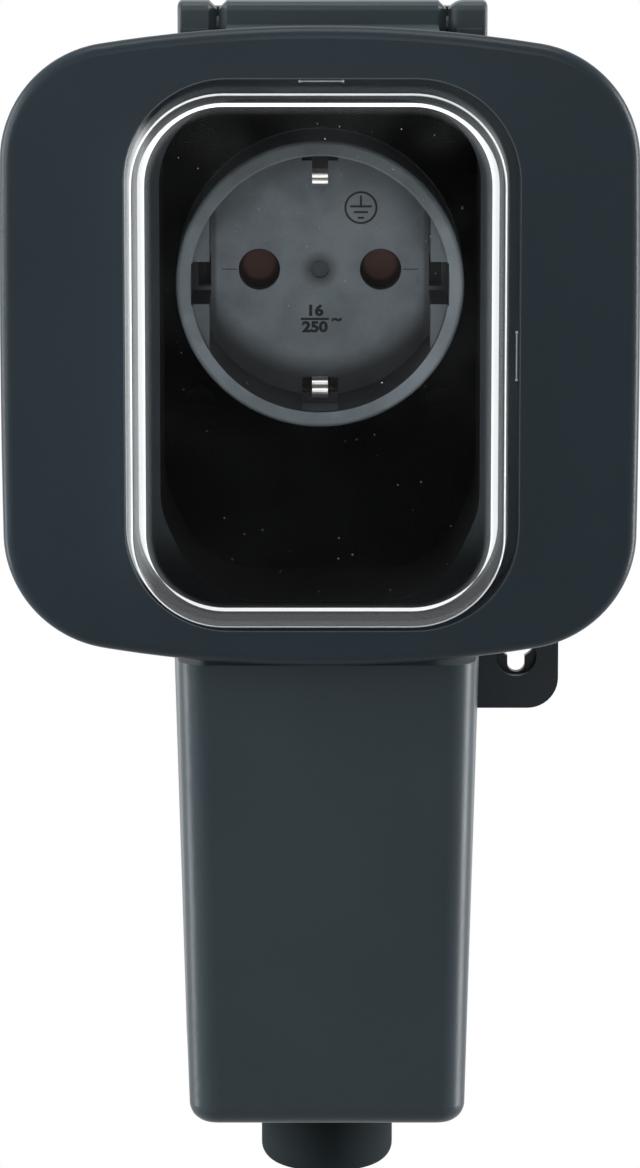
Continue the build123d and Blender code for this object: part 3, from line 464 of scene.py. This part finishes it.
# marks printed on the well's floor: the earth sign with the two fine lines beside the pin holes
inkSet = dict(bodySet, colour=(0.012, 0.013, 0.014), rough=(0.5, 0.6), cloudScale=300.0)
markMat = plastic("markInk", inkSet)[0]
markDepth = -0.02603
signSet = {"at": (0.0064, 0.0097), "radius": 0.0026, "line": 0.00034, "steps": 48, "stemTop": 0.0019,
           "bars": ((0.0002, 0.0017), (-0.0007, 0.0011), (-0.0016, 0.0005)),
           "fineAt": 0.0142, "fineHalf": (0.0012, 0.00006)}
signX, signZ = signSet["at"]
rings = [circle(signX, signZ, r, markDepth, signSet["steps"])
         for r in (signSet["radius"], signSet["radius"] - signSet["line"])]
verts = [v for pair in zip(*rings) for v in pair]
faces = []
for k in range(signSet["steps"]):
    a, b = 2 * k, 2 * ((k + 1) % signSet["steps"])
    faces.append((a, a + 1, b + 1, b))
halfLine = signSet["line"] / 2
fineX, fineZ = signSet["fineHalf"]
strokes = [(signX - w, signX + w, signZ + z - halfLine, signZ + z + halfLine) for z, w in signSet["bars"]]
strokes.append((signX - halfLine, signX + halfLine, signZ, signZ + signSet["stemTop"]))
for side in (-1, 1):
    strokes.append((side * signSet["fineAt"] - fineX, side * signSet["fineAt"] + fineX, -fineZ, fineZ))
for stroke in strokes:
    addFace(verts, faces, rectangle(*stroke, markDepth))
addPiece("earthSign", verts, faces, markMat, "base")

# the rated current over the rated voltage: text, place in X and Z, size
ratingSet = {"lines": (("16", -0.0008, -0.0066, 0.0023), ("250", -0.0008, -0.0092, 0.0023),
                       ("~", 0.0026, -0.0079, 0.0022)),
             "bold": 0.00011, "wide": 1.15, "bar": (-0.003, 0.0014, -0.00806, -0.00769)}
verts, faces = [], []
for text, x, z, size in ratingSet["lines"]:
    curve = bpy.data.curves.new("rating", "FONT")
    curve.body = text
    curve.size = size
    curve.align_x = "CENTER"
    curve.align_y = "CENTER"
    curve.resolution_u = 4
    curve.offset = ratingSet["bold"]
    holder = addObject("rating", curve)
    flat = evaluatedMesh(holder)
    n = len(verts)
    verts += [(v.co.x * ratingSet["wide"] + x, markDepth, v.co.y + z) for v in flat.vertices]
    faces += [tuple(n + i for i in f.vertices) for f in flat.polygons]
    bpy.data.objects.remove(holder)
    bpy.data.curves.remove(curve)
    bpy.data.meshes.remove(flat)
addFace(verts, faces, rectangle(*ratingSet["bar"], markDepth))
addPiece("ratingMark", verts, faces, markMat, "base")
print("marks made")

# two polished ridges pressed across each earth clip, between its tip and its knee in Y and Z
ridgeMat = metal("polishedRidge", dict(steelSet, colour=(0.95, 0.94, 0.91), rough=(0.3, 0.4), stretch=alongX))
ridgeSet = {"tip": (-0.0424, 0.0175), "knee": (-0.0396, 0.0151), "along": (0.27, 0.7), "lift": 0.00038,
            "radius": 0.0004, "half": 0.0012, "steps": 28, "sharp": 40.0}
verts, faces = [], []
tip, knee = Vector(ridgeSet["tip"]), Vector(ridgeSet["knee"])
slope = (knee - tip).normalized()
steps = ridgeSet["steps"]
for side in (1, -1):
    for share in ridgeSet["along"]:
        middle = tip.lerp(knee, share) + ridgeSet["lift"] * Vector((slope.y, -slope.x))
        n = len(verts)
        for k in range(steps):
            angle = 2 * math.pi * k / steps
            y = middle.x + ridgeSet["radius"] * math.cos(angle)
            z = side * middle.y + ridgeSet["radius"] * math.sin(angle)
            verts += [(-ridgeSet["half"], y, z), (ridgeSet["half"], y, z)]
            a, b = n + 2 * k, n + 2 * ((k + 1) % steps)
            faces.append((a, a + 1, b + 1, b))
        faces.append(tuple(n + 2 * k for k in range(steps)))
        faces.append(tuple(n + 2 * k + 1 for k in reversed(range(steps))))
ridges = addPiece("clipRidges", verts, faces, ridgeMat, "base")
ridges.data.shade_smooth()
ridges.data.set_sharp_from_angle(angle=math.radians(ridgeSet["sharp"]))
print("ridges made")

# the shutter's spring again, as a piece of its own with its doubled points merged, in place of the hidden CAD
# spring
springSet = {"top": 0.015941, "bottom": 0.004459, "depth": -0.0218, "travel": 0.0075, "merge": 1e-7}
coilMesh = nodes["shutter_spring"].data.copy()
coilMesh.name = "shutterCoil"
shape = bmesh.new()
shape.from_mesh(coilMesh)
bmesh.ops.remove_doubles(shape, verts=shape.verts, dist=springSet["merge"])
shape.to_mesh(coilMesh)
shape.free()
coil = addObject("shutterCoil", coilMesh)
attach(coil, "base")
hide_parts("shutter_spring")
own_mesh(coil)
print("spring made")

# painted highlight where the window's two snap tabs catch light: a thin pale bar with a bead at each end
glintSet = {"top": (0.0002, 0.0343, 0.0032, 0.0001), "right": (0.0294, -0.0069, 0.0001, 0.0036),
            "depth": -0.0708, "bead": 0.00022, "beadLift": 0.00002, "steps": 10}
glintHighlight = dict(bodySet, colour=(0.55, 0.58, 0.60), rough=(0.15, 0.25), cloudScale=400.0)
glintMat = plastic("tabGlint", glintHighlight)[0]
for side in ("top", "right"):
    cx, cz, hx, hz = glintSet[side]  # middle and half size
    verts, faces = [], []
    addFace(verts, faces, rectangle(cx - hx, cx + hx, cz - hz, cz + hz, glintSet["depth"]))
    for end in (-1, 1):
        beadX = cx + end * hx * (hx > hz)
        beadZ = cz + end * hz * (hz > hx)
        beadDepth = glintSet["depth"] - glintSet["beadLift"]
        addFace(verts, faces, circle(beadX, beadZ, glintSet["bead"], beadDepth, glintSet["steps"]))
    addPiece(side + "TabGlint", verts, faces, glintMat, "lid")
print("tab glints made")

# painted highlight along the edge of the lid's opening: a lighter ribbon on the crowned front
edgeHighlight = dict(bodySet, colour=(0.075, 0.09, 0.1), rough=(0.25, 0.35), cloudScale=300.0)
edgeMat = plastic("openingEdge", edgeHighlight)[0]
edgeSet = {"middle": (0.0003, -0.00685), "half": (0.0295, 0.04165), "round": 0.0155, "width": 0.00016,
           "front": 0.0735, "crown": 0.9, "crownZ": -0.00585, "lift": 0.00002, "steps": 14}
steps = edgeSet["steps"]
reachX, reachZ = (h - edgeSet["round"] for h in edgeSet["half"])
centres = [Vector((edgeSet["middle"][0] + a * reachX, edgeSet["middle"][1] + b * reachZ))
           for a, b in ((1, 1), (-1, 1), (-1, -1), (1, -1))]
path = []  # a centre and an angle for each step, round the corners and along the sides
for corner in range(4):
    here, there = centres[corner], centres[(corner + 1) % 4]
    path += [(here, math.pi / 2 * (corner + k / steps)) for k in range(steps + 1)]
    path += [(here.lerp(there, k / steps), math.pi / 2 * (corner + 1)) for k in range(1, steps)]
verts = []
for radius in (edgeSet["round"], edgeSet["round"] + edgeSet["width"]):
    for centre, angle in path:
        x = centre.x + radius * math.cos(angle)
        z = centre.y + radius * math.sin(angle)
        sag = (x * x + (z - edgeSet["crownZ"]) ** 2) / (2 * edgeSet["crown"])
        verts.append((x, sag - edgeSet["front"] - edgeSet["lift"], z))
loop = len(path)
faces = [(k, (k + 1) % loop, loop + (k + 1) % loop, loop + k) for k in range(loop)]
addPiece("openingEdge", verts, faces, edgeMat, "lid")
print("opening edge made")

# dust behind the window: one group scatters flat grains on a sheet
dustMat = plastic("dustGrain", dict(bodySet, colour=(0.85, 0.86, 0.86), cloudDark=0.65, cloudScale=800.0,
                                    rough=(0.85, 0.95)))[0]
dustSet = {"Density": 26000.0, "Seed": 7, "Grain": 0.00009, "half": (0.0225, 0.0355),
           "middle": (-0.0003, -0.0069), "depth": 0.07592,
           "least": (0.25, 0.1, 0.25), "most": (1.3, 0.2, 1.3)}  # a grain's scale, flat to the window


def scatterGrains(mat, s):
    group = bpy.data.node_groups.new("scatterGrains", "GeometryNodeTree")
    group.interface.new_socket("Geometry", in_out="INPUT", socket_type="NodeSocketGeometry")
    for key, kind in (("Density", "Float"), ("Seed", "Int"), ("Grain", "Float")):
        group.interface.new_socket(key, in_out="INPUT", socket_type="NodeSocket" + kind)
    group.interface.new_socket("Geometry", in_out="OUTPUT", socket_type="NodeSocketGeometry")
    given = group.nodes.new("NodeGroupInput").outputs
    made = group.nodes.new("NodeGroupOutput").inputs
    spread = group.nodes.new("GeometryNodeDistributePointsOnFaces")
    grain = group.nodes.new("GeometryNodeMeshIcoSphere")
    grain.inputs["Subdivisions"].default_value = 1
    place = group.nodes.new("GeometryNodeInstanceOnPoints")
    sizes = group.nodes.new("FunctionNodeRandomValue")
    sizes.data_type = "FLOAT_VECTOR"
    sizes.inputs["Min"].default_value = s["least"]
    sizes.inputs["Max"].default_value = s["most"]
    realize = group.nodes.new("GeometryNodeRealizeInstances")
    paint = group.nodes.new("GeometryNodeSetMaterial")
    paint.inputs["Material"].default_value = mat
    for a, b in ((given["Geometry"], spread.inputs["Mesh"]), (given["Density"], spread.inputs["Density"]),
                 (given["Seed"], spread.inputs["Seed"]), (given["Grain"], grain.inputs["Radius"]),
                 (given["Seed"], sizes.inputs["Seed"]), (spread.outputs["Points"], place.inputs["Points"]),
                 (grain.outputs["Mesh"], place.inputs["Instance"]), (sizes.outputs[0], place.inputs["Scale"]),
                 (place.outputs["Instances"], realize.inputs[0]),
                 (realize.outputs[0], paint.inputs["Geometry"]),
                 (paint.outputs["Geometry"], made[0])):
        group.links.new(a, b)
    return group


group = scatterGrains(dustMat, dustSet)
hx, hz = dustSet["half"]
mx, mz = dustSet["middle"]
sheetMesh = bpy.data.meshes.new("dustSheet")
sheetMesh.from_pydata(rectangle(mx - hx, mx + hx, mz - hz, mz + hz, -dustSet["depth"]), [], [(0, 1, 2, 3)])
sheetObj = addObject("dustSheet", sheetMesh)
scatter = sheetObj.modifiers.new("scatter", "NODES")
scatter.node_group = group
for item in group.interface.items_tree:
    if item.in_out == "INPUT" and item.name in dustSet:
        scatter[item.identifier] = dustSet[item.name]
dustMesh = evaluatedMesh(sheetObj)
bpy.data.objects.remove(sheetObj)
bpy.data.meshes.remove(sheetMesh)
dust = addObject("windowDust", dustMesh)
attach(dust, "lid")
print("dust faces:", len(dustMesh.polygons))

# pale floor at the foot of the wall, below the photo's frame; the camera sees it white, as it sees the world
floorSet = dict(bodySet, half=2.0, height=-1.2, colour=(0.8, 0.8, 0.79), cloudDark=0.95, cloudScale=6.0,
                rough=(0.6, 0.75), grainScale=300.0, grain=0.1, spec=0.2)
floorMat, floorTree, floorBsdf = plastic("paleFloor", floorSet)
floorWhite = addNode(floorTree, "ShaderNodeEmission", Strength=1.0)
mixShaders(floorTree, seeingRay(floorTree), floorBsdf.outputs[0], floorWhite.outputs[0],
           floorTree.nodes["Material Output"].inputs["Surface"])
floorMesh = bpy.data.meshes.new("floor")
floorMesh.from_pydata([(a * floorSet["half"], b * floorSet["half"], floorSet["height"])
                       for a, b in ((-1, -1), (1, -1), (1, 1), (-1, 1))], [], [(0, 1, 2, 3)])
floorMesh.materials.append(floorMat)
floor = addObject("floor", floorMesh)
print("floor made")

# camera as the photo was taken, a little above and far away
camSet = {"place": (0.0, -0.9573, 0.1291), "down": 10.9, "lens": 184.7, "sensor": 36.0, "clipEnd": 20.0}
camData = bpy.data.cameras.new("camera")
camData.lens = camSet["lens"]
camData.sensor_fit = "VERTICAL"
camData.sensor_height = camSet["sensor"]
camData.clip_end = camSet["clipEnd"]
cam = addObject("camera", camData)
cam.location = camSet["place"]
cam.rotation_euler = (math.radians(90.0 - camSet["down"]), 0.0, 0.0)
bpy.context.scene.camera = cam

# soft boxes round the object: place, size and watts
lampSet = {
    "keyLeft": ((-0.45, -0.28, 0.06), (0.3, 0.3), 1.9),
    "front": ((0.05, -1.3, 0.45), (0.5, 0.5), 2.5),
    "sideLeft": ((-0.8, 0.05, 0.0), (0.25, 0.9), 8.0),
    "sideRight": ((0.8, 0.05, 0.0), (0.25, 0.9), 13.0),
    "top": ((0.0, -0.1, 0.9), (0.8, 0.4), 5.2),
}
aimAt = Vector((0.0, -0.04, -0.05))
for name, (place, size, watts) in lampSet.items():
    lampData = bpy.data.lights.new(name, "AREA")
    lampData.shape = "RECTANGLE"
    lampData.size, lampData.size_y = size
    lampData.energy = watts
    lamp = addObject(name, lampData)
    lamp.location = place
    lamp.rotation_euler = (aimAt - Vector(place)).to_track_quat("-Z", "Y").to_euler()

# the world is white where it is seen, and a weaker light all round
worldSet = {"seen": (1.0, 1.0, 1.0, 1.0), "around": (0.94, 0.97, 1.0, 1.0), "aroundStrength": 0.25}
world = bpy.data.worlds.new("world")
bpy.context.scene.world = world
world.use_nodes = True
worldTree = world.node_tree
worldTree.nodes.clear()
worldOut = worldTree.nodes.new("ShaderNodeOutputWorld")
seen = addNode(worldTree, "ShaderNodeBackground", Strength=1.0, Color=worldSet["seen"])
around = addNode(worldTree, "ShaderNodeBackground", Strength=worldSet["aroundStrength"],
                 Color=worldSet["around"])
mixShaders(worldTree, seeingRay(worldTree), around.outputs[0], seen.outputs[0], worldOut.inputs["Surface"])
bpy.context.scene.view_settings.view_transform = "Standard"
print("camera and lights set")
